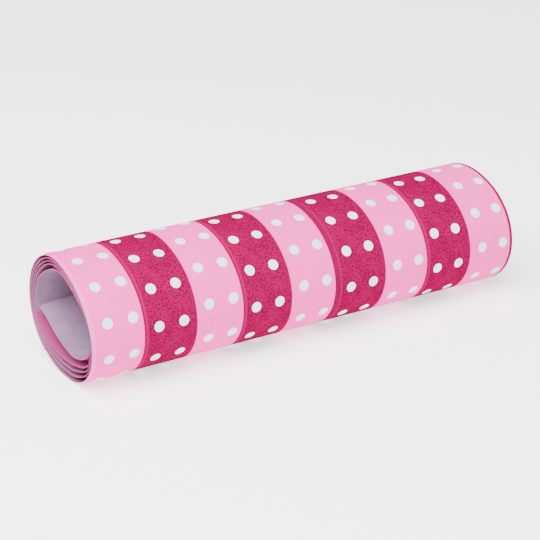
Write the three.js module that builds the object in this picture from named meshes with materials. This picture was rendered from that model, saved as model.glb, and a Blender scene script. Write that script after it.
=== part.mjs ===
// A hollow roll of nine polka-dot ribbons that lie side by side on one thin backing sheet.
// Each ribbon's winding is one solid ring. The sheet's inner end curls loose across the hollow.
// Millimetres. X runs along the roll, -Y is its front, Z is up and z = 0 is what it rests on.
// Angles go round the roll's middle line, from the front upwards over the top to the back.
import * as THREE from "three";

// Ribbons from the near end (-X) to the far end, with the width that shows of each
const RIBBONS = [
  { shade: "light", width: 15.1 },
  { shade: "dark", width: 15.6 },
  { shade: "light", width: 14.25 },
  { shade: "dark", width: 15.25 },
  { shade: "light", width: 14.2 },
  { shade: "dark", width: 16.65 },
  { shade: "light", width: 14.3 },
  { shade: "dark", width: 15.15 },
  { shade: "light", width: 14.8 },
];
const GAP = 0.3;

// The roll's outside: a slightly flattened round, egg-shaped by a few percent
const MEAN_RADIUS = 17.86;
const LOBES = [
  { count: 2, along: 0.066, across: -0.0243 },
  { count: 3, along: 0.0107, across: -0.0006 },
];
const AXIS_HEIGHT = 16.45;

// The outer end of the winding, low at the back, and how soon its step fades into the roll
const OUTER_END = { angle: 212, step: 0.9, fade: 50 };

// Both rims are wound a little askew: how far each leans out, and towards which angle
const NEAR_RIM = { lean: 1.1, towards: 30 };
const FAR_RIM = { lean: 0.5, towards: 0 };

// Inner face of the sheet from its free end, down across the hollow, up the front wall, over the
// top, down the back wall and under the loose end. The middle line is at y = 0, z = 0 here.
const INNER_COURSE = [
  { y: 13.7, z: -1.3 },
  { y: 10.0, z: -3.0 },
  { y: 4.2, z: -6.6 },
  { y: -1.9, z: -8.9 },
  { y: -5.8, z: -9.0 },
  { y: -9.6, z: -8.0 },
  { y: -13.0, z: -5.7 },
  { y: -15.3, z: -2.2 },
  { y: -15.5, z: 2.4 },
  { y: -13.2, z: 7.0 },
  { y: -8.2, z: 10.8 },
  { y: -2.0, z: 13.1 },
  { y: 3.6, z: 12.7 },
  { y: 9.0, z: 10.4 },
  { y: 13.4, z: 6.8 },
  { y: 15.5, z: 2.2 },
  { y: 15.8, z: -2.6 },
  { y: 14.2, z: -6.5 },
  { y: 10.0, z: -9.5 },
  { y: 4.6, z: -11.2 },
  { y: -1.6, z: -11.7 },
  { y: -6.8, z: -10.9 },
  { y: -10.8, z: -9.8 },
  { y: -13.7, z: -7.6 },
];

// Where the loose end leaves the wall, and how it changes deeper in: after a given depth from
// the near rim it reaches a little further and lies a little higher, over a share of the course
const ROOT_ANGLE = 322;
const LOOSE_END = {
  thickness: 1.6,
  inset: 0.4,
  rootGap: 0.75,
  share: 0.12,
  further: 1.0,
  higher: 0.8,
  depth: 12,
};

// Smoothness
const RING_STEP = 4.5;
const CREASE = 0.3;
const COURSE_SAMPLES = 800;
const LOOSE_STEPS = 36;
const LOOSE_STATIONS = [0, 0.09, 0.25, 0.55, 1];

const LIGHT_PINK = new THREE.MeshStandardMaterial({ color: "#efb3cd", roughness: 0.75, metalness: 0 });
const DARK_PINK = new THREE.MeshStandardMaterial({ color: "#d93f78", roughness: 0.8, metalness: 0 });
const BACKING_GREY = new THREE.MeshStandardMaterial({ color: "#d3c8d8", roughness: 0.65, metalness: 0 });

const { degToRad: radians, radToDeg: degrees, euclideanModulo, smoothstep, lerp } = THREE.MathUtils;
const ribbonsWidth = RIBBONS.reduce((sum, ribbon) => sum + ribbon.width, 0);
const nearEdge = -(ribbonsWidth + FAR_RIM.lean - NEAR_RIM.lean) / 2;

// How far a rim stands out at an angle
function rimLean(rim, angle) {
  return rim.lean * Math.cos(radians(angle - rim.towards));
}

// Radius of the outside, one turn lower just past the outer end
function outerRadius(angle) {
  const waves = LOBES.reduce((sum, { count, along, across }) => {
    return sum + along * Math.cos(count * radians(angle)) + across * Math.sin(count * radians(angle));
  }, 1);
  const past = euclideanModulo(angle - OUTER_END.angle, 360);
  return MEAN_RADIUS * waves - OUTER_END.step * (1 - smoothstep(past, 0, OUTER_END.fade));
}

// The sheet's inner face as a smooth line, from the free end inwards
const courseCurve = new THREE.CatmullRomCurve3(
  INNER_COURSE.map(({ y, z }) => new THREE.Vector3(0, y, z)),
  false,
  "centripetal",
);

// The same line as radius by angle, the angle growing on past a full turn
const courseSamples = [];
for (let i = 0; i <= COURSE_SAMPLES; i++) {
  const t = i / COURSE_SAMPLES;
  const { y, z } = courseCurve.getPointAt(t);
  const before = courseSamples.at(-1)?.angle ?? 180;
  const turned = euclideanModulo(degrees(Math.atan2(z, -y)) - before, 360);
  courseSamples.push({ t, angle: before + turned, radius: Math.hypot(y, z) });
}

// First sample of the course at or past an angle
function courseAt(angle) {
  return courseSamples.find((sample) => sample.angle >= angle) ?? courseSamples.at(-1);
}

// Radius of the hollow's wall: the course for one turn on from where the loose end leaves it
function innerRadius(angle) {
  return courseAt(ROOT_ANGLE + euclideanModulo(angle - ROOT_ANGLE, 360)).radius;
}

// A point of the roll's section, with the underside cut to a small flat
function sectionPoint(angle, radius) {
  const height = AXIS_HEIGHT + radius * Math.sin(radians(angle));
  return { y: -radius * Math.cos(radians(angle)), z: Math.max(height, 0) };
}

// Evenly spread angles, the last just short of the end so that a step there stays crisp
function spread(from, to) {
  const count = Math.round((to - from) / RING_STEP);
  return Array.from({ length: count + 1 }, (_, i) => lerp(from, to - CREASE, i / count));
}

const ringAngles = [
  ...spread(OUTER_END.angle, ROOT_ANGLE),
  ...spread(ROOT_ANGLE, OUTER_END.angle + 360),
];
const ringOutside = ringAngles.map((angle) => sectionPoint(angle, outerRadius(angle)));
const ringInside = ringAngles.map((angle) => sectionPoint(angle, innerRadius(angle)));

function meshFrom(name, positions, faces, material) {
  const geometry = new THREE.BufferGeometry();
  geometry.setAttribute("position", new THREE.Float32BufferAttribute(positions, 3));
  geometry.setIndex(faces);
  geometry.computeVertexNormals();
  const mesh = new THREE.Mesh(geometry, material);
  mesh.name = name;
  return mesh;
}

// Two triangles for the four corners of a face, taken anticlockwise as seen from outside
function quad(a, b, c, d) {
  return [a, b, c, a, c, d];
}

// One ribbon wound into a ring, between two sideways places given for each angle
function winding(name, startAt, endAt, material) {
  const positions = [];
  const faces = [];
  const corners = (i) => ({
    outStart: 4 * i,
    outEnd: 4 * i + 1,
    inStart: 4 * i + 2,
    inEnd: 4 * i + 3,
  });
  for (const [i, angle] of ringAngles.entries()) {
    for (const ring of [ringOutside, ringInside]) {
      positions.push(startAt(angle), ring[i].y, ring[i].z, endAt(angle), ring[i].y, ring[i].z);
    }
    const here = corners(i);
    const next = corners((i + 1) % ringAngles.length);
    faces.push(
      ...quad(here.outStart, here.outEnd, next.outEnd, next.outStart),
      ...quad(here.inStart, next.inStart, next.inEnd, here.inEnd),
      ...quad(here.outStart, next.outStart, next.inStart, here.inStart),
      ...quad(here.outEnd, here.inEnd, next.inEnd, next.outEnd),
    );
  }
  return meshFrom(name, positions, faces, material);
}

// Inner-face point and outward normal of the loose end at a depth in from the near rim
function looseSection(t, depth) {
  const point = courseCurve.getPointAt(t);
  const tangent = courseCurve.getTangentAt(t);
  const normal = new THREE.Vector3(0, -tangent.z, tangent.y);
  const looseness = 1 - smoothstep(t, 0, LOOSE_END.share);
  const deepness = 1 - Math.exp(-depth / LOOSE_END.depth);
  point.addScaledVector(tangent, -LOOSE_END.further * looseness * deepness);
  point.z += AXIS_HEIGHT + LOOSE_END.higher * looseness * deepness;
  return { point, normal };
}

// The loose end: a grid of inner-face and outer-face points, then the faces between them
function looseEnd(name, material) {
  const positions = [];
  const faces = [];
  const columns = LOOSE_STATIONS.length;
  const gapAngle = degrees(LOOSE_END.rootGap / innerRadius(ROOT_ANGLE));
  const root = courseAt(ROOT_ANGLE - gapAngle).t;
  const inner = (step, column) => 2 * (step * columns + column);
  const outer = (step, column) => inner(step, column) + 1;
  for (let step = 0; step <= LOOSE_STEPS; step++) {
    for (const station of LOOSE_STATIONS) {
      const { point, normal } = looseSection((root * step) / LOOSE_STEPS, station * ribbonsWidth);
      const angle = degrees(Math.atan2(point.z - AXIS_HEIGHT, -point.y));
      const near = nearEdge - rimLean(NEAR_RIM, angle) + LOOSE_END.inset;
      const far = nearEdge + ribbonsWidth + rimLean(FAR_RIM, angle) - LOOSE_END.inset;
      const x = lerp(near, far, station);
      positions.push(x, point.y, point.z);
      point.addScaledVector(normal, LOOSE_END.thickness);
      positions.push(x, point.y, point.z);
    }
  }
  const end = columns - 1;
  for (let i = 0; i < LOOSE_STEPS; i++) {
    const j = i + 1;
    for (let k = 0; k < end; k++) {
      faces.push(...quad(inner(i, k), inner(j, k), inner(j, k + 1), inner(i, k + 1)));
      faces.push(...quad(outer(i, k), outer(i, k + 1), outer(j, k + 1), outer(j, k)));
    }
    faces.push(...quad(inner(i, 0), outer(i, 0), outer(j, 0), inner(j, 0)));
    faces.push(...quad(inner(j, end), outer(j, end), outer(i, end), inner(i, end)));
  }
  for (let k = 0; k < end; k++) {
    const last = LOOSE_STEPS;
    faces.push(...quad(inner(0, k), inner(0, k + 1), outer(0, k + 1), outer(0, k)));
    faces.push(...quad(outer(last, k), outer(last, k + 1), inner(last, k + 1), inner(last, k)));
  }
  return meshFrom(name, positions, faces, material);
}

const roll = new THREE.Group();
let start = nearEdge;
for (const [i, { shade, width }] of RIBBONS.entries()) {
  const left = start;
  const right = start + width;
  const isFirst = i === 0;
  const isLast = i === RIBBONS.length - 1;
  roll.add(
    winding(
      `ribbon_${i + 1}_${shade}`,
      (angle) => (isFirst ? left - rimLean(NEAR_RIM, angle) : left + GAP / 2),
      (angle) => (isLast ? right + rimLean(FAR_RIM, angle) : right - GAP / 2),
      shade === "light" ? LIGHT_PINK : DARK_PINK,
    ),
  );
  start = right;
}
roll.add(looseEnd("backing_loose_end", BACKING_GREY));

// The origin is under the middle of the roll
const sides = ringOutside.map((point) => point.y);
roll.position.y = -(Math.min(...sides) + Math.max(...sides)) / 2;

export default roll;
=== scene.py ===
# A hollow roll of nine polka-dot ribbons on one thin backing, its inner end curled loose.
# Angles go round the roll's middle line, from the front upwards over the top to the back, and
# grow on past a full turn along the winding, from the loose inner end to the outer end.
import math

import bpy
import numpy as np
from mathutils import Matrix, Vector


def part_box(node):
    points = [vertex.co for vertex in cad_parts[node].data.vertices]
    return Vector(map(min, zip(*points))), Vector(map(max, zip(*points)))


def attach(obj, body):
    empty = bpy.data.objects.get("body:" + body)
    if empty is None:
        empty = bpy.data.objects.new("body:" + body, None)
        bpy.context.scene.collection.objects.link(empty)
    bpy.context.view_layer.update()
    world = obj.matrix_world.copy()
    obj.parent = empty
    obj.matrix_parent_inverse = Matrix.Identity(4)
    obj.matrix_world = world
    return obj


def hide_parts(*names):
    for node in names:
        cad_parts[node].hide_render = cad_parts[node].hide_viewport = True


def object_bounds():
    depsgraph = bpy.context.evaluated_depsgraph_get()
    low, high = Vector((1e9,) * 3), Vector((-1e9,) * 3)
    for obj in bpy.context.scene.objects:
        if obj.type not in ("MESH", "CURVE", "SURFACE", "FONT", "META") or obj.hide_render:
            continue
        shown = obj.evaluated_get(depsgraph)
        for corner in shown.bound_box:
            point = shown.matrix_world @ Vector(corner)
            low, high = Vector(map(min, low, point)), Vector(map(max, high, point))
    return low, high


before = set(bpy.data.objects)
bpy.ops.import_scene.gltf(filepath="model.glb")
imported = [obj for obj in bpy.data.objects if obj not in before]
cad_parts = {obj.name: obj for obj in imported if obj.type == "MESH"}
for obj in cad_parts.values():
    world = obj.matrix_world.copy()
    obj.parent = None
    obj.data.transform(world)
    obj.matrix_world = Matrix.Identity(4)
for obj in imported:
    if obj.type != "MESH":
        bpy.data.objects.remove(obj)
cad_low, cad_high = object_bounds()

MM = 0.001

# Ribbons from the near end. The print's first dot is given by its place along the roll from the
# near colour edge, and by its place round the roll from the front upwards.
RIBBONS = [
    {"node": "ribbon_1_light", "first_dot": 4.90, "dot_round": 25.15},
    {"node": "ribbon_2_dark", "first_dot": 19.40, "dot_round": 31.32},
    {"node": "ribbon_3_light", "first_dot": 34.74, "dot_round": 23.77},
    {"node": "ribbon_4_dark", "first_dot": 48.93, "dot_round": 29.93},
    {"node": "ribbon_5_light", "first_dot": 64.21, "dot_round": 22.40},
    {"node": "ribbon_6_dark", "first_dot": 79.60, "dot_round": 28.85},
    {"node": "ribbon_7_light", "first_dot": 95.06, "dot_round": 31.91},
    {"node": "ribbon_8_dark", "first_dot": 109.14, "dot_round": 27.88},
    {"node": "ribbon_9_light", "first_dot": 124.90, "dot_round": 30.88},
]
LOOSE_NODE = "backing_loose_end"

# Two columns of dots to a ribbon: how far apart the columns are, the step along them, and the
# dots' radius, in millimetres
DOT_COLUMNS = 7.38
DOT_PITCH = 10.22
DOT_RADIUS = {"light": 1.5, "dark": 1.45}

# Outside of the roll, in millimetres and degrees, as in the solids
MEAN_RADIUS = 17.86
LOBES = [
    {"count": 2, "along": 0.066, "across": -0.0243},
    {"count": 3, "along": 0.0107, "across": -0.0006},
]
AXIS_HEIGHT = 16.45
TURNS = 5

# The outer end: a thin step where the cloth ends, how far on it fades out, and how far the end
# itself is tucked in. It lies a little further down the back than that of the solids.
OUTER_END = {"angle": 230, "step": 0.42, "fade": 60, "tuck": 0.04}

# Both rims are wound a little askew: how far each leans out, and towards which angle. The near
# rim that shows lies a little further in than that of the solids, and is not quite flat.
SOLIDS_NEAR_LEAN = 1.1
NEAR_RIM = {"inset": 0.56, "lean": 0.66, "towards": 37}
RIPPLE = {"size": 0.27, "towards": 110}
FAR_RIM = {"lean": 0.5, "towards": 0}

# Inner face of the sheet from its free end, as in the solids: across the hollow, up the front
# wall, over the top, down the back wall and under the loose end
INNER_COURSE = [
    (13.7, -1.3), (10.0, -3.0), (4.2, -6.6), (-1.9, -8.9), (-5.8, -9.0), (-9.6, -8.0),
    (-13.0, -5.7), (-15.3, -2.2), (-15.5, 2.4), (-13.2, 7.0), (-8.2, 10.8), (-2.0, 13.1),
    (3.6, 12.7), (9.0, 10.4), (13.4, 6.8), (15.5, 2.2), (15.8, -2.6), (14.2, -6.5),
    (10.0, -9.5), (4.6, -11.2), (-1.6, -11.7), (-6.8, -10.9), (-10.8, -9.8), (-13.7, -7.6),
]

# How the loose end changes deeper in, and where the reverse takes painted pink reflected light:
# under the loose end, and less so in the turns after it
LOOSE_END = {"share": 0.12, "further": 1.0, "higher": 0.8, "depth": 12}
REFLECTION_UNDER_LOOSE_END = {"from": 551, "to": 700, "soft": 6, "less": 0.5}

# A wider gap between the hollow's wall and the next turn, at the top of the back
OPEN_GAP = {"angle": 118, "spread": 32, "pull": 0.14}

# How far the rims of the inner turns are set back, most at the hollow's wall: all round, and
# more towards the front. They waver a little from turn to turn. A share of it makes them stand
# out at the far rim.
TELESCOPE = {"round": 0.35, "front": 1.2, "towards": 350, "narrow": 8, "far_share": 0.25}
WAVER = {"size": 0.12, "waves": 0.37}

# The cloth's real thickness, and how far a ribbon lies off the backing's face
BACKING_THICK = 0.12
RIBBON_THICK = 0.25
CLOTH = BACKING_THICK + RIBBON_THICK
RIBBON_LIFT = BACKING_THICK + 0.01

# The backing that shows past the first ribbon, the gap between two ribbons here and in the
# solids, and how far a cut edge wanders, over what length
RIM_STRIP = 1.2
RIBBON_GAP = 0.12
GAP_IN_SOLIDS = 0.3
WANDER = 0.12
WANDER_LENGTH = 14
WANDER_NOISE = {"Scale": 1.0, "Detail": 1.0}
EDGE_SEED = {"Left": 0.0, "Right": 7.3}
BACKING_SEED = 50.0

# Smoothness: steps of the winding in degrees, rounds of settling its turns, what each round
# takes from the cloth on both sides and how many steps away that is, rows in millimetres, steps
# across, and how near in millimetres two points become one
ANGLE_STEP = 0.5
SETTLING = 600
EVENING = 0.4
EASE = 8
ROW_STEP = 1.0
RIBBON_STEPS = 8
BACKING_STEPS = 60
MERGE_WITHIN = 0.001

# The print: its colours, how strong its grain and the ring round a dot are, and how soft a dot's
# edge is, in millimetres. A dot's core is given as shares of its radius.
# The cut colours are painted shade: the dark rims of the inner turns.
SHADES = {
    "light": {
        "cloth": "#f44da8", "grain": "#b83c80", "grain_share": 0.45, "cut": "#8a2f66",
        "dot": "#f2c8f2", "dot_core": "#b4eef4", "ring": "#b46496", "ring_share": 0.7,
        "softness": 0.2,
    },
    "dark": {
        "cloth": "#880040", "grain": "#4a0022", "grain_share": 1.0, "cut": "#8a2f66",
        "dot": "#fcdcf4", "dot_core": "#b8f0ee", "ring": "#50082a", "ring_share": 1.0,
        "softness": 0.12,
    },
}
RING = {"full": 0.05, "none": 0.45}
DOT_CORE = {"full": 0.35, "none": 0.75}
DOT_WOBBLE = 0.12

# Grain of the cloth: its noise, the pitches of the fine and the broad one in millimetres, and
# how much of each shows
GRAIN_NOISE = {"Scale": 1.0, "Detail": 2.0, "Roughness": 0.6}
GRAIN = {"fine": 0.55, "broad": 3.5, "longer": 1.6}
MOTTLE = {"fine": 2.6, "broad": 0.8, "even": 0.3}

# Lines along a ribbon's edges, in millimetres from the edge: a bright line on a light ribbon, a
# thin dark line of painted shade at the far rim, and on a dark ribbon a paler strip with a painted
# shadow line on its left (in millimetres from the strip) and another at the right edge
HALO = {"colour": "#fb23aa", "full": 0.4, "none": 0.8, "share": 0.6}
SHADE_SLIVER = {"colour": "#7c013b", "width": 0.9, "soft": 0.1}
SELVEDGE = {"colour": "#96024b", "soft": 0.15, "share": 0.7}
USUAL_STRIP = (0.35, 1.1)
WIDE_STRIP = (1.6, 2.1)
LEFT_SHADOW_LINE = {"full": -0.25, "none": 0.1, "share": 0.7}
RIGHT_SHADOW_LINE = {"full": 0.25, "none": 0.55, "share": 0.8}
SHADOW_LINE_COLOUR = "#720d3b"

# The backing's colours, its grain, and how the print's dots show through its reverse
BACKING = {
    # The pink for the reverse under the loose end is painted reflected light.
    "reverse": "#8c6f8b", "grain": "#705870", "dot": "#98849a", "reflected_pink": "#902a64",
    # The inner strip colour is painted shade on the inner turns' rims.
    "strip": "#e461b5", "shaded_inner_strip": "#a04674",
}
BACKING_GRAIN = {"fine": 0.5, "broad": 4.0}
BACKING_MOTTLE = {"fine": 0.5, "broad": 0.7, "even": 0.3}
SHOW_THROUGH = {"full": 1.3, "none": 1.9, "share": 0.2}
# How strong the painted pink reflected light is, and how it varies with the grain
PINK_REFLECTION = {"fine": 0.8, "even": 0.85}

# Over which share of the way in from the outside turn the rims take the inner turns' dark
# colour, painted shade on the set-back turns
SHADED_INNER_RIMS = {"none": 0.02, "full": 0.2}

# Surfaces: the height of their relief and the weave's threads in millimetres, how uneven their
# roughness is, and the weave's share in the relief
RIBBON_FINISH = {"gloss": 0.0, "sheen": 0.0, "roughness": 0.8, "relief": 0.03}
BACKING_FINISH = {"gloss": 0.05, "sheen": 0.02, "roughness": 0.7, "relief": 0.02}
SHEEN_ROUGHNESS = 0.5
UNEVEN = 0.3
WEAVE_SHARE = 0.3
THREAD = 0.42

# The photograph's view, in degrees and millimetres: where it is seen from, and the picture point
# of a place on the middle line, in a picture of the given size. Only the clipping is in metres.
CAMERA = {"azimuth": 57.33, "elevation": 22.13, "distance": 550.39, "lens": 132.18}
PICTURE = {"size": 540, "across": 280.05, "down": 266.66}
SENSOR = 36
NEAREST, FARTHEST = 0.01, 50
AIM_FROM_NEAR_EDGE = 68.8

# The table and the lights, in metres
TABLE = {"size": 6, "white": 0.9, "roughness": 0.9, "glow": 1.2}
LIGHT_ALL_ROUND = 0.8
LAMP = {"energy": 38, "size": 0.9, "place": (-0.4, -0.25, 0.78)}


class Wire:
    """An output of a node. Maths on wires adds Math nodes to their tree."""

    def __init__(self, tree, output=None):
        self.tree = tree
        self.output = output

    def node(self, kind, settings=None, sockets=None, out=None):
        """A new node in this tree: its settings first, then its sockets' values or links."""
        made = self.tree.nodes.new(kind)
        for name, value in (settings or {}).items():
            setattr(made, name, value)
        for name, value in (sockets or {}).items():
            self.feed(made, name, value)
        outputs = [o for o in made.outputs if o.enabled]
        return Wire(self.tree, next((o for o in outputs if o.name == out), outputs[0]))

    def feed(self, made, name, value):
        """Sets or links one socket, found by its name or by its number."""
        sockets = [s for s in made.inputs if s.enabled]
        if isinstance(name, int):
            socket = sockets[name]
        else:
            socket = next(s for s in sockets if s.name == name)
        if isinstance(value, Wire):
            self.tree.links.new(value.output, socket)
        else:
            socket.default_value = value

    def maths(self, operation, *others):
        sockets = dict(enumerate((self, *others)))
        return self.node("ShaderNodeMath", {"operation": operation}, sockets)

    def vectors(self, operation, *others, out="Vector"):
        sockets = dict(enumerate((self, *others)))
        return self.node("ShaderNodeVectorMath", {"operation": operation}, sockets, out)

    def scaled(self, factor):
        """This vector times a number."""
        sockets = {"Vector": self, "Scale": factor}
        return self.node("ShaderNodeVectorMath", {"operation": "SCALE"}, sockets)

    def __add__(self, other):
        return self.maths("ADD", other)

    def __sub__(self, other):
        return self.maths("SUBTRACT", other)

    def __rsub__(self, other):
        return self.node("ShaderNodeMath", {"operation": "SUBTRACT"}, {0: other, 1: self})

    def __mul__(self, other):
        return self.maths("MULTIPLY", other)

    def __truediv__(self, other):
        return self.maths("DIVIDE", other)

    def ramp(self, start, end):
        """0 before start and 1 past end, smooth between them; start may be the higher one."""
        sockets = {"Value": self, "From Min": start, "From Max": end}
        return self.node("ShaderNodeMapRange", {"interpolation_type": "SMOOTHSTEP"}, sockets)

    def mix(self, colour_a, colour_b):
        """Colour a where this wire is 0 and colour b where it is 1."""
        sockets = {"Factor": self, "A": colour_a, "B": colour_b}
        return self.node("ShaderNodeMix", {"data_type": "RGBA"}, sockets)

    def axis(self, name):
        return self.node("ShaderNodeSeparateXYZ", None, {"Vector": self}, name)

    def joined(self, x=0.0, y=0.0, z=0.0):
        return self.node("ShaderNodeCombineXYZ", None, {"X": x, "Y": y, "Z": z})


# The course of the whole winding


def smoothstep(value, start, end):
    share = np.clip((value - start) / (end - start), 0, 1)
    return share * share * (3 - 2 * share)


def outside_radius(angle):
    """Radius of the outside at an angle, one turn lower just past the outer end."""
    turn = np.radians(angle)
    waves = 1 + sum(
        lobe["along"] * np.cos(lobe["count"] * turn) + lobe["across"] * np.sin(lobe["count"] * turn)
        for lobe in LOBES
    )
    past = np.mod(angle - OUTER_END["angle"], 360)
    return MEAN_RADIUS * waves - OUTER_END["step"] * (1 - smoothstep(past, 0, OUTER_END["fade"]))


def smooth_line(points, steps=60):
    """A centripetal Catmull-Rom line through points, with some steps between each two."""
    points = np.array(points, float)
    points = np.vstack([2 * points[0] - points[1], points, 2 * points[-1] - points[-2]])
    line = []
    for p0, p1, p2, p3 in zip(points, points[1:], points[2:], points[3:]):
        t0 = 0
        t1 = t0 + np.linalg.norm(p1 - p0) ** 0.5
        t2 = t1 + np.linalg.norm(p2 - p1) ** 0.5
        t3 = t2 + np.linalg.norm(p3 - p2) ** 0.5
        t = np.linspace(t1, t2, steps, endpoint=False)[:, None]
        a1 = ((t1 - t) * p0 + (t - t0) * p1) / (t1 - t0)
        a2 = ((t2 - t) * p1 + (t - t1) * p2) / (t2 - t1)
        a3 = ((t3 - t) * p2 + (t - t2) * p3) / (t3 - t2)
        b1 = ((t2 - t) * a1 + (t - t0) * a2) / (t2 - t0)
        b2 = ((t3 - t) * a2 + (t - t1) * a3) / (t3 - t1)
        line.append(((t2 - t) * b1 + (t - t1) * b2) / (t2 - t1))
    return np.vstack([*line, points[-2:-1]])


def winding_radii():
    """Angles along the winding, the radius of its inner face, and where the hollow's wall ends."""
    line = smooth_line(INNER_COURSE)
    line_angles = np.degrees(np.unwrap(np.arctan2(line[:, 1], -line[:, 0])))
    line_angles += 360 * math.ceil((180 - line_angles[0]) / 360)
    wall_end = line_angles[-1]
    outer_end = OUTER_END["angle"] + 360 * TURNS
    last_turn = outer_end - 360
    angles = np.arange(line_angles[0], outer_end, ANGLE_STEP)

    inner = np.interp(angles, line_angles, np.hypot(line[:, 0], line[:, 1]))
    outer = outside_radius(angles) - CLOTH
    outer -= OUTER_END["tuck"] * smoothstep(angles, outer_end - OUTER_END["fade"], outer_end)
    share = (angles - wall_end) / (last_turn - wall_end)
    between = inner[-1] + share * (outer[-1] - inner[-1])
    radius = np.where(angles <= wall_end, inner, np.where(angles >= last_turn, outer, between))

    # Between the hollow's wall and the outside turn, each turn lies halfway between its
    # neighbours, but the first stands off the wall at the top of the back
    turn = round(360 / ANGLE_STEP)
    free = np.flatnonzero((angles > wall_end) & (angles < last_turn))
    away = (np.mod(angles[free], 360) - OPEN_GAP["angle"]) / OPEN_GAP["spread"]
    is_first = angles[free] < wall_end + 360
    pull = 0.5 + is_first * OPEN_GAP["pull"] * np.exp(-away * away)
    for _ in range(SETTLING):
        halfway = (1 - pull) * radius[free - turn] + pull * radius[free + turn]
        beside = (radius[free - EASE] + radius[free + EASE]) / 2
        radius[free] = (1 - EVENING) * halfway + EVENING * beside
    return angles, radius, wall_end


def place_rows():
    """Rows at even steps along the cloth's outer face, with the middle line at y = z = 0."""
    angles, radius, wall_end = winding_radii()
    turn = np.radians(angles)
    inside_by = outside_radius(angles) - radius
    y = -radius * np.cos(turn)
    z = np.maximum(radius * np.sin(turn), inside_by - AXIS_HEIGHT)
    along_y, along_z = np.gradient(y), np.gradient(z)
    size = np.hypot(along_y, along_z)
    out_y, out_z = -along_z / size, along_y / size
    steps = np.hypot(np.diff(y + CLOTH * out_y), np.diff(z + CLOTH * out_z))
    run = np.concatenate([[0], np.cumsum(steps)])
    places = np.linspace(0, run[-1], round(run[-1] / ROW_STEP))
    at_places = {"y": y, "z": z, "out_y": out_y, "out_z": out_z, "angle": angles}
    rows = {name: np.interp(places, run, values) for name, values in at_places.items()}
    rows["run"] = places
    rows["front_run"] = np.interp(360 * TURNS, angles, run)
    rows["wall_run"] = np.interp(wall_end, angles, run)
    rows["wall_angle"] = wall_end
    return rows


rows = place_rows()
sweep = np.arange(0, 360, ANGLE_STEP)
sides = -outside_radius(sweep) * np.cos(np.radians(sweep))
middle_y = (cad_low.y + cad_high.y) / 2 / MM - (sides.min() + sides.max()) / 2
near_edge = cad_low.x / MM + SOLIDS_NEAR_LEAN
near_rim = near_edge + NEAR_RIM["inset"]
far_edge = cad_high.x / MM - FAR_RIM["lean"]


def winding_mesh():
    """The winding as a line of points in metres, with what a strip needs to know at each."""
    nothing = np.zeros(len(rows["run"]))
    places = np.stack([nothing, rows["y"] + middle_y, rows["z"] + AXIS_HEIGHT], axis=1) * MM
    turn = np.radians(rows["angle"])
    backwards = np.stack([nothing, -rows["out_z"], rows["out_y"]], axis=1)
    raised = np.array([0, 0, LOOSE_END["higher"]])
    looseness = 1 - smoothstep(rows["run"] / rows["wall_run"], 0, LOOSE_END["share"])
    outside_from = OUTER_END["angle"] + 360 * (TURNS - 1) + OUTER_END["fade"]
    wall_to_outside = outside_from - rows["wall_angle"]
    inwards = np.clip((outside_from - rows["angle"]) / wall_to_outside, 0, 1)
    facing = (1 + np.cos(turn - math.radians(TELESCOPE["towards"]))) / 2
    set_back = TELESCOPE["round"] + TELESCOPE["front"] * facing ** TELESCOPE["narrow"]
    set_back += WAVER["size"] * np.sin(turn * WAVER["waves"])
    ripple = RIPPLE["size"] * np.cos(2 * (turn - math.radians(RIPPLE["towards"])))
    # Where the reverse takes painted pink reflected light, under the loose end
    first, last = REFLECTION_UNDER_LOOSE_END["from"], REFLECTION_UNDER_LOOSE_END["to"]
    soft = REFLECTION_UNDER_LOOSE_END["soft"]
    past = smoothstep(rows["angle"], last - soft, last + soft)
    under = smoothstep(rows["angle"], first - soft, first + soft)
    under *= 1 - REFLECTION_UNDER_LOOSE_END["less"] * past
    vectors = {
        "outward": np.stack([nothing, rows["out_y"], rows["out_z"]], axis=1),
        "rim": np.stack([np.cos(turn), np.sin(turn), (inwards * set_back + ripple) * MM], axis=1),
        "drift": looseness[:, None] * (LOOSE_END["further"] * backwards + raised) * MM,
    }
    numbers = {
        "run": (rows["run"] - rows["front_run"]) * MM,
        "under": under,
        "inwards": inwards,
    }
    mesh = bpy.data.meshes.new("winding")
    mesh.from_pydata(places.tolist(), [], [])
    for name, values in vectors.items():
        mesh.attributes.new(name, "FLOAT_VECTOR", "POINT").data.foreach_set("vector", values.ravel())
    for name, values in numbers.items():
        mesh.attributes.new(name, "FLOAT", "POINT").data.foreach_set("value", values)
    return mesh


# The node tree that lays one strip of cloth along the winding

STRIP_INPUTS = {
    "Winding": "NodeSocketGeometry",
    "Left edge": "NodeSocketFloat",
    "Right edge": "NodeSocketFloat",
    "Left lean": "NodeSocketVector",
    "Right lean": "NodeSocketVector",
    "Near rim": "NodeSocketFloat",
    "Print start": "NodeSocketVector",
    "Lift": "NodeSocketFloat",
    "Thickness": "NodeSocketFloat",
    "Steps across": "NodeSocketInt",
    "Wander": "NodeSocketFloat",
    "Seed": "NodeSocketFloat",
    "Material": "NodeSocketMaterial",
}


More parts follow.
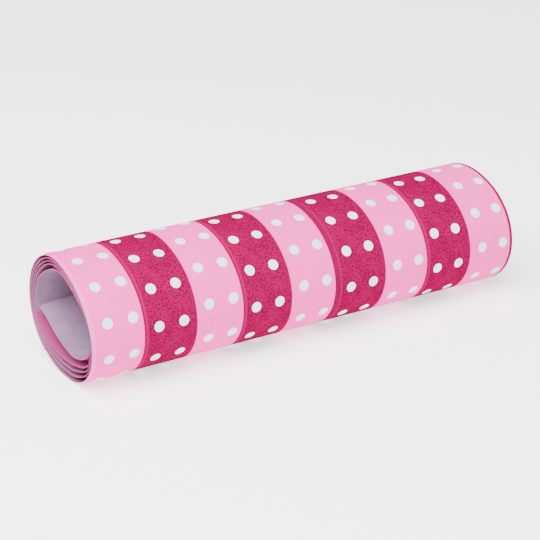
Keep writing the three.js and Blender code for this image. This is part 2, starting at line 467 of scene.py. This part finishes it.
def strip_tree():
    """A grid across and along, laid on the winding, given its thickness and closed all round."""
    tree = bpy.data.node_groups.new("strip on the winding", "GeometryNodeTree")
    for name, kind in STRIP_INPUTS.items():
        tree.interface.new_socket(name, in_out="INPUT", socket_type=kind)
    tree.interface.new_socket("Strip", in_out="OUTPUT", socket_type="NodeSocketGeometry")
    start = tree.nodes.new("NodeGroupInput")
    given = {name: Wire(tree, start.outputs[name]) for name in STRIP_INPUTS}
    make = Wire(tree).node

    # The grid's own x and y say which share of the width and which row a point is
    rows_given = make("GeometryNodeAttributeDomainSize", None, {"Geometry": given["Winding"]})
    sockets = {
        "Size X": 1.0,
        "Size Y": 1.0,
        "Vertices X": given["Steps across"] + 1,
        "Vertices Y": rows_given,
    }
    grid = make("GeometryNodeMeshGrid", None, sockets)
    place = make("GeometryNodeInputPosition")
    share = place.axis("X") + 0.5
    row = ((place.axis("Y") + 0.5) * (rows_given - 1)).maths("ROUND")

    def named(kind, name):
        return make("GeometryNodeInputNamedAttribute", {"data_type": kind}, {"Name": name})

    def at_row(kind, value):
        """What the winding has in that row; value is an attribute's name or a wire."""
        if isinstance(value, str):
            value = named(kind, value)
        settings = {"data_type": kind, "domain": "POINT"}
        sockets = {"Geometry": given["Winding"], "Value": value, "Index": row}
        return make("GeometryNodeSampleIndex", settings, sockets)

    run = at_row("FLOAT", "run")
    outward = at_row("FLOAT_VECTOR", "outward")
    rim = at_row("FLOAT_VECTOR", "rim")

    def edge(side):
        """Where an edge runs: it leans with the rim and wanders a little, as cut cloth does."""
        lean = rim.vectors("DOT_PRODUCT", given[side + " lean"], out="Value")
        spot = run.joined(run / (WANDER_LENGTH * MM), given["Seed"] + EDGE_SEED[side])
        wobble = make("ShaderNodeTexNoise", None, {"Vector": spot, **WANDER_NOISE})
        return given[side + " edge"] + lean + (wobble - 0.5) * given["Wander"]

    left = edge("Left")
    width = edge("Right") - left
    across = left + share * width
    depth = (across - given["Near rim"]).maths("MAXIMUM", 0.0)
    deepness = 1 - (depth / (-LOOSE_END["depth"] * MM)).maths("EXPONENT")
    drift = at_row("FLOAT_VECTOR", "drift").scaled(deepness)
    lift = outward.scaled(given["Lift"])
    spot = at_row("FLOAT_VECTOR", place).vectors("ADD", drift).vectors("ADD", lift)
    spot = spot.vectors("ADD", across.joined(across))

    # What the print and the edges need, in millimetres
    printed = across.joined(across, run).vectors("SUBTRACT", given["Print start"])
    printed = printed.vectors("DIVIDE", (MM, MM, MM))
    margin = across.joined(share * width / MM, (1 - share) * width / MM)

    def keep(geometry, name, value, kind, domain):
        settings = {"data_type": kind, "domain": domain}
        sockets = {"Geometry": geometry, "Name": name, "Value": value}
        return make("GeometryNodeStoreNamedAttribute", settings, sockets)

    laid = keep(grid, "print", printed, "FLOAT2", "CORNER")
    laid = keep(laid, "margin", margin, "FLOAT_VECTOR", "POINT")
    laid = keep(laid, "under", at_row("FLOAT", "under"), "FLOAT", "POINT")
    laid = keep(laid, "inwards", at_row("FLOAT", "inwards"), "FLOAT", "POINT")
    laid = keep(laid, "outward", outward, "FLOAT_VECTOR", "POINT")
    laid = make("GeometryNodeSetPosition", None, {"Geometry": laid, "Position": spot})

    # Thickness: the grid moved outwards, its sides, and the grid itself turned over below
    sockets = {
        "Mesh": laid,
        "Offset": named("FLOAT_VECTOR", "outward"),
        "Offset Scale": given["Thickness"],
        "Individual": False,
    }
    thick = make("GeometryNodeExtrudeMesh", {"mode": "FACES"}, sockets)
    side = Wire(tree, thick.output.node.outputs["Side"])
    top = Wire(tree, thick.output.node.outputs["Top"])
    thick = keep(thick, "cut", side, "FLOAT", "FACE")
    thick = keep(thick, "face", top, "FLOAT", "FACE")
    sockets = {"Geometry": thick, "Selection": side, "Shade Smooth": False}
    thick = make("GeometryNodeSetShadeSmooth", {"domain": "FACE"}, sockets)
    below = make("GeometryNodeFlipFaces", None, {"Mesh": laid})
    both = make("GeometryNodeJoinGeometry", None, {"Geometry": below})
    tree.links.new(thick.output, both.output.node.inputs["Geometry"])
    sockets = {"Geometry": both, "Distance": MERGE_WITHIN * MM}
    closed = make("GeometryNodeMergeByDistance", None, sockets)
    closed = make("GeometryNodeRemoveAttribute", None, {"Geometry": closed, "Name": "outward"})
    real = make("GeometryNodeRealizeInstances", None, {"Geometry": closed})
    sockets = {"Geometry": real, "Material": given["Material"]}
    done = make("GeometryNodeSetMaterial", None, sockets)
    end = tree.nodes.new("NodeGroupOutput")
    tree.links.new(done.output, end.inputs["Strip"])
    return tree


STRIP = strip_tree()


def lay_strip(name, values):
    """A strip of cloth as a plain mesh: the tree's result on the winding."""
    made = bpy.data.objects.new(name, winding_mesh())
    bpy.context.scene.collection.objects.link(made)
    modifier = made.modifiers.new("strip", "NODES")
    modifier.node_group = STRIP
    for item in STRIP.interface.items_tree:
        if item.in_out == "INPUT" and item.name in values:
            modifier[item.identifier] = values[item.name]
    bpy.context.view_layer.update()
    evaluated = made.evaluated_get(bpy.context.evaluated_depsgraph_get())
    mesh = bpy.data.meshes.new_from_object(evaluated)
    made.modifiers.clear()
    made.data = mesh
    mesh.name = name
    return made


# Finishes


def ink(code):
    """A colour in the shader's own units, from its screen code."""
    parts = [int(code[i:i + 2], 16) / 255 for i in (1, 3, 5)]
    linear = [c / 12.92 if c <= 0.04045 else ((c + 0.055) / 1.055) ** 2.4 for c in parts]
    return (*linear, 1)


def cloth_material(name, finish):
    """A new cloth material and a wire that adds nodes to its tree."""
    material = bpy.data.materials.new(name)
    material.use_nodes = True
    shader = material.node_tree.nodes["Principled BSDF"]
    shader.inputs["Specular IOR Level"].default_value = finish["gloss"]
    shader.inputs["Sheen Weight"].default_value = finish["sheen"]
    shader.inputs["Sheen Roughness"].default_value = SHEEN_ROUGHNESS
    return material, Wire(material.node_tree)


def finish_material(material, finish, colour, fine, height):
    """Links colour, roughness and relief to a material's shader; fine is its fine grain."""
    sockets = {"Height": height, "Strength": 1.0, "Distance": finish["relief"] * MM}
    values = {
        "Base Color": colour,
        "Roughness": fine * UNEVEN + finish["roughness"],
        "Normal": fine.node("ShaderNodeBump", None, sockets),
    }
    shader = material.node_tree.nodes["Principled BSDF"]
    for name, value in values.items():
        material.node_tree.links.new(value.output, shader.inputs[name])


def attribute(wire, name, out="Fac"):
    return wire.node("ShaderNodeAttribute", {"attribute_name": name}, None, out)


def grain(place, pitch, stretch=1.0):
    """Noise from -0.5 to 0.5 with grains of about a pitch in millimetres, longer round the roll."""
    spot = place.vectors("DIVIDE", (pitch, pitch * stretch, 1.0))
    return place.node("ShaderNodeTexNoise", None, {"Vector": spot, **GRAIN_NOISE}) - 0.5


def weave(place):
    """Plain weave: the threads across and along are raised by turns."""
    across = (place.axis("X") * (2 * math.pi / THREAD)).maths("SINE")
    along = (place.axis("Y") * (2 * math.pi / THREAD)).maths("SINE")
    return across * along


def dot_distance(place):
    """Millimetres from the middle of the nearest dot."""
    from_middle = (place.axis("X") - DOT_COLUMNS / 2).maths("ABSOLUTE")
    sideways = from_middle - DOT_COLUMNS / 2
    onwards = place.axis("Y").maths("WRAP", DOT_PITCH / 2, -DOT_PITCH / 2)
    return place.joined(sideways, onwards).vectors("LENGTH", out="Value")


def mottled(fine, broad, mottle, share=1.0):
    """How much of the grain's colour shows, from the fine and the broad grain."""
    shade = (fine * mottle["fine"] + broad * mottle["broad"] + mottle["even"]) * share
    return shade.maths("MAXIMUM", 0.0)


def mark(distance, look):
    """How much of a mark shows at a distance: its share up to full, fading to nothing at none."""
    return distance.ramp(look["none"], look["full"]) * look["share"]


def shaded_rim_colour(wire, outermost, inner):
    """A rim's colour: the outermost turn's, and a painted shade colour on the turns within it."""
    shaded_share = attribute(wire, "inwards").ramp(SHADED_INNER_RIMS["none"], SHADED_INNER_RIMS["full"])
    return shaded_share.mix(ink(outermost), ink(inner))


def light_edges(ground, left, right):
    """A brighter line just inside both edges of a light ribbon."""
    return mark(left.maths("MINIMUM", right), HALO).mix(ground, ink(HALO["colour"]))


def last_edges(ground, left, right):
    """The last ribbon's edges: a brighter line at its left and a dark band of painted shade at the
    far rim.
    """
    ground = mark(left, HALO).mix(ground, ink(HALO["colour"]))
    shade_sliver = right.ramp(SHADE_SLIVER["width"] + SHADE_SLIVER["soft"], SHADE_SLIVER["width"] - SHADE_SLIVER["soft"])
    return shade_sliver.mix(ground, ink(SHADE_SLIVER["colour"]))


def dark_edges(ground, left, right, place):
    """A paler strip at a dark ribbon's left edge, and painted shadow lines along both edges."""
    start, end = place
    soft = SELVEDGE["soft"]
    strip = left.ramp(end + soft, end - soft) * left.ramp(start - soft, start + soft)
    # Painted shadow lines along both edges
    shadow_lines = mark(left - start, LEFT_SHADOW_LINE).maths("MAXIMUM", mark(right, RIGHT_SHADOW_LINE))
    ground = (strip * SELVEDGE["share"]).mix(ground, ink(SELVEDGE["colour"]))
    return shadow_lines.mix(ground, ink(SHADOW_LINE_COLOUR))


def ribbon_material(name, shade, edges, *edge_values):
    """Printed ribbon: woven ground, finished edges and dots with a soft ring."""
    look = SHADES[shade]
    material, wire = cloth_material(name, RIBBON_FINISH)
    place = wire.node("ShaderNodeUVMap", {"uv_map": "print"})
    margin = attribute(wire, "margin", "Vector")

    fine = grain(place, GRAIN["fine"])
    broad = grain(place, GRAIN["broad"], GRAIN["longer"])
    mottle = mottled(fine, broad, MOTTLE, look["grain_share"])
    ground = mottle.mix(ink(look["cloth"]), ink(look["grain"]))
    ground = edges(ground, margin.axis("X"), margin.axis("Y"), *edge_values)

    distance = dot_distance(place) + fine * DOT_WOBBLE
    radius = DOT_RADIUS[shade]
    ring = distance.ramp(radius + RING["none"], radius + RING["full"]) * look["ring_share"]
    dot = distance.ramp(radius + look["softness"], radius - look["softness"])
    core = distance.ramp(radius * DOT_CORE["none"], radius * DOT_CORE["full"])
    inked = core.mix(ink(look["dot"]), ink(look["dot_core"]))
    printed = dot.mix(ring.mix(ground, ink(look["ring"])), inked)
    # Cut edges take the cloth's colour on the outermost turn and painted shade on the inner turns.
    colour = attribute(wire, "cut").mix(printed, shaded_rim_colour(wire, look["cloth"], look["cut"]))
    height = weave(place) * WEAVE_SHARE + fine + 0.5
    finish_material(material, RIBBON_FINISH, colour, fine, height)
    return material


def backing_material():
    """The backing: a pale pink outer face, and a mottled grey reverse that takes painted pink
    reflected light where it lies under the loose end, with dots of the print showing faintly
    through."""
    material, wire = cloth_material("backing", BACKING_FINISH)
    place = wire.node("ShaderNodeUVMap", {"uv_map": "print"})
    fine = grain(place, BACKING_GRAIN["fine"])
    broad = grain(place, BACKING_GRAIN["broad"])
    mottle = mottled(fine, broad, BACKING_MOTTLE)
    reverse = mottle.mix(ink(BACKING["reverse"]), ink(BACKING["grain"]))
    reverse = mark(dot_distance(place), SHOW_THROUGH).mix(reverse, ink(BACKING["dot"]))
    # Painted pink reflected light on the reverse under the loose end
    reflected_pink = attribute(wire, "under") * (fine * PINK_REFLECTION["fine"] + PINK_REFLECTION["even"])
    reverse = reflected_pink.mix(reverse, ink(BACKING["reflected_pink"]))
    # The backing's outer face and cut edges: pale pink on the outermost turn, painted shade on the
    # inner turns.
    rim = shaded_rim_colour(wire, BACKING["strip"], BACKING["shaded_inner_strip"])
    ground = attribute(wire, "face").mix(reverse, rim)
    colour = attribute(wire, "cut").mix(ground, rim)
    finish_material(material, BACKING_FINISH, colour, fine, fine + 0.5)
    return material


RIBBON_MATERIALS = {
    "light": ribbon_material("light ribbon print", "light", light_edges),
    "dark": ribbon_material("dark ribbon print", "dark", dark_edges, USUAL_STRIP),
    "ribbon_6_dark": ribbon_material("dark print, wide edge", "dark", dark_edges, WIDE_STRIP),
    # The last ribbon has painted shade along its far rim
    "ribbon_9_light": ribbon_material("light print, shaded far edge", "light", last_edges),
}


# The pieces


def rim_lean(rim, outwards, inner_share):
    """What a rim's edge takes of the winding's rim vector: its lean, and the turns' set-back."""
    towards = math.radians(rim["towards"])
    lean = outwards * rim["lean"] * MM
    return (lean * math.cos(towards), lean * math.sin(towards), inner_share)


NO_LEAN = (0, 0, 0)
NEAR_LEAN = rim_lean(NEAR_RIM, -1, 1)
FAR_LEAN = rim_lean(FAR_RIM, 1, TELESCOPE["far_share"])


def print_start(ribbon):
    """Where a ribbon's print starts, along the roll and round it."""
    return ((near_edge + ribbon["first_dot"]) * MM, ribbon["dot_round"] * MM, 0)


def lay_ribbon(number, ribbon):
    """One ribbon between the edges of its solid ring, on the backing."""
    node = ribbon["node"]
    shade = node.rsplit("_", 1)[1]
    low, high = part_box(node)
    widening = (GAP_IN_SOLIDS - RIBBON_GAP) / 2 * MM
    is_first = number == 0
    is_last = number == len(RIBBONS) - 1
    values = {
        "Left edge": (near_rim + RIM_STRIP) * MM if is_first else low.x - widening,
        "Right edge": far_edge * MM if is_last else high.x + widening,
        "Left lean": NEAR_LEAN if is_first else NO_LEAN,
        "Right lean": FAR_LEAN if is_last else NO_LEAN,
        "Near rim": near_rim * MM,
        "Print start": print_start(ribbon),
        "Lift": RIBBON_LIFT * MM,
        "Thickness": RIBBON_THICK * MM,
        "Steps across": RIBBON_STEPS,
        "Wander": WANDER * MM,
        "Seed": float(number),
        "Material": RIBBON_MATERIALS.get(node, RIBBON_MATERIALS[shade]),
    }
    piece = lay_strip(node + "_cloth", values)
    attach(piece, "root")
    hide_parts(node)
    shade + "_ribbon"
    width = values["Right edge"] - values["Left edge"]


def lay_backing():
    """The one backing sheet, from the loose end to the outer end, wider than the ribbons."""
    values = {
        "Left edge": near_rim * MM,
        "Right edge": far_edge * MM,
        "Left lean": NEAR_LEAN,
        "Right lean": FAR_LEAN,
        "Near rim": near_rim * MM,
        "Print start": print_start(RIBBONS[0]),
        "Lift": 0.0,
        "Thickness": BACKING_THICK * MM,
        "Steps across": BACKING_STEPS,
        "Wander": WANDER * MM,
        "Seed": BACKING_SEED,
        "Material": backing_material(),
    }
    piece = lay_strip("backing", values)
    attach(piece, "root")
    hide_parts(LOOSE_NODE)
    width = values["Right edge"] - values["Left edge"]


lay_backing()
for number, ribbon in enumerate(RIBBONS):
    lay_ribbon(number, ribbon)


# Floor, light and camera


def pale_floor():
    """A wide white table top under the roll, lit a little from within like a light table."""
    bpy.ops.mesh.primitive_plane_add(size=TABLE["size"], location=(0, 0, 0))
    floor = bpy.context.object
    floor.name = "floor"
    material = bpy.data.materials.new("pale table")
    material.use_nodes = True
    white = TABLE["white"]
    shader = material.node_tree.nodes["Principled BSDF"]
    shader.inputs["Base Color"].default_value = (white, white, white, 1)
    shader.inputs["Roughness"].default_value = TABLE["roughness"]
    shader.inputs["Specular IOR Level"].default_value = 0.0
    shader.inputs["Emission Color"].default_value = (1, 1, 1, 1)
    shader.inputs["Emission Strength"].default_value = TABLE["glow"]
    floor.data.materials.append(material)


def studio():
    """Even white light from all round, with a large lamp above that looks at the near end."""
    world = bpy.data.worlds.new("studio")
    world.use_nodes = True
    world.node_tree.nodes["Background"].inputs["Color"].default_value = (1, 1, 1, 1)
    world.node_tree.nodes["Background"].inputs["Strength"].default_value = LIGHT_ALL_ROUND
    bpy.context.scene.world = world
    lamp = bpy.data.lights.new("top lamp", "AREA")
    lamp.energy = LAMP["energy"]
    lamp.size = LAMP["size"]
    made = bpy.data.objects.new("top lamp", lamp)
    bpy.context.scene.collection.objects.link(made)
    made.location = LAMP["place"]
    made.rotation_euler = (-Vector(LAMP["place"])).to_track_quat("-Z", "Y").to_euler()


def set_camera():
    """The camera that sees the roll as the photograph does."""
    azimuth, elevation = math.radians(CAMERA["azimuth"]), math.radians(CAMERA["elevation"])
    level = math.cos(elevation)
    forward = Vector((math.cos(azimuth) * level, math.sin(azimuth) * level, -math.sin(elevation)))
    right = Vector((math.sin(azimuth), -math.cos(azimuth), 0))
    up = right.cross(forward)
    focal = CAMERA["lens"] / SENSOR * PICTURE["size"]
    across = (PICTURE["across"] - PICTURE["size"] / 2) / focal * CAMERA["distance"]
    above = -(PICTURE["down"] - PICTURE["size"] / 2) / focal * CAMERA["distance"]
    aim = Vector((near_edge + AIM_FROM_NEAR_EDGE, middle_y, AXIS_HEIGHT))
    place = (aim - CAMERA["distance"] * forward - across * right - above * up) * MM
    lens = bpy.data.cameras.new("camera")
    lens.lens = CAMERA["lens"]
    lens.sensor_width = SENSOR
    lens.clip_start = NEAREST
    lens.clip_end = FARTHEST
    camera = bpy.data.objects.new("camera", lens)
    bpy.context.scene.collection.objects.link(camera)
    turned = Matrix((right, up, -forward)).transposed().to_4x4()
    camera.matrix_world = Matrix.Translation(place) @ turned
    bpy.context.scene.camera = camera


pale_floor()
studio()
set_camera()
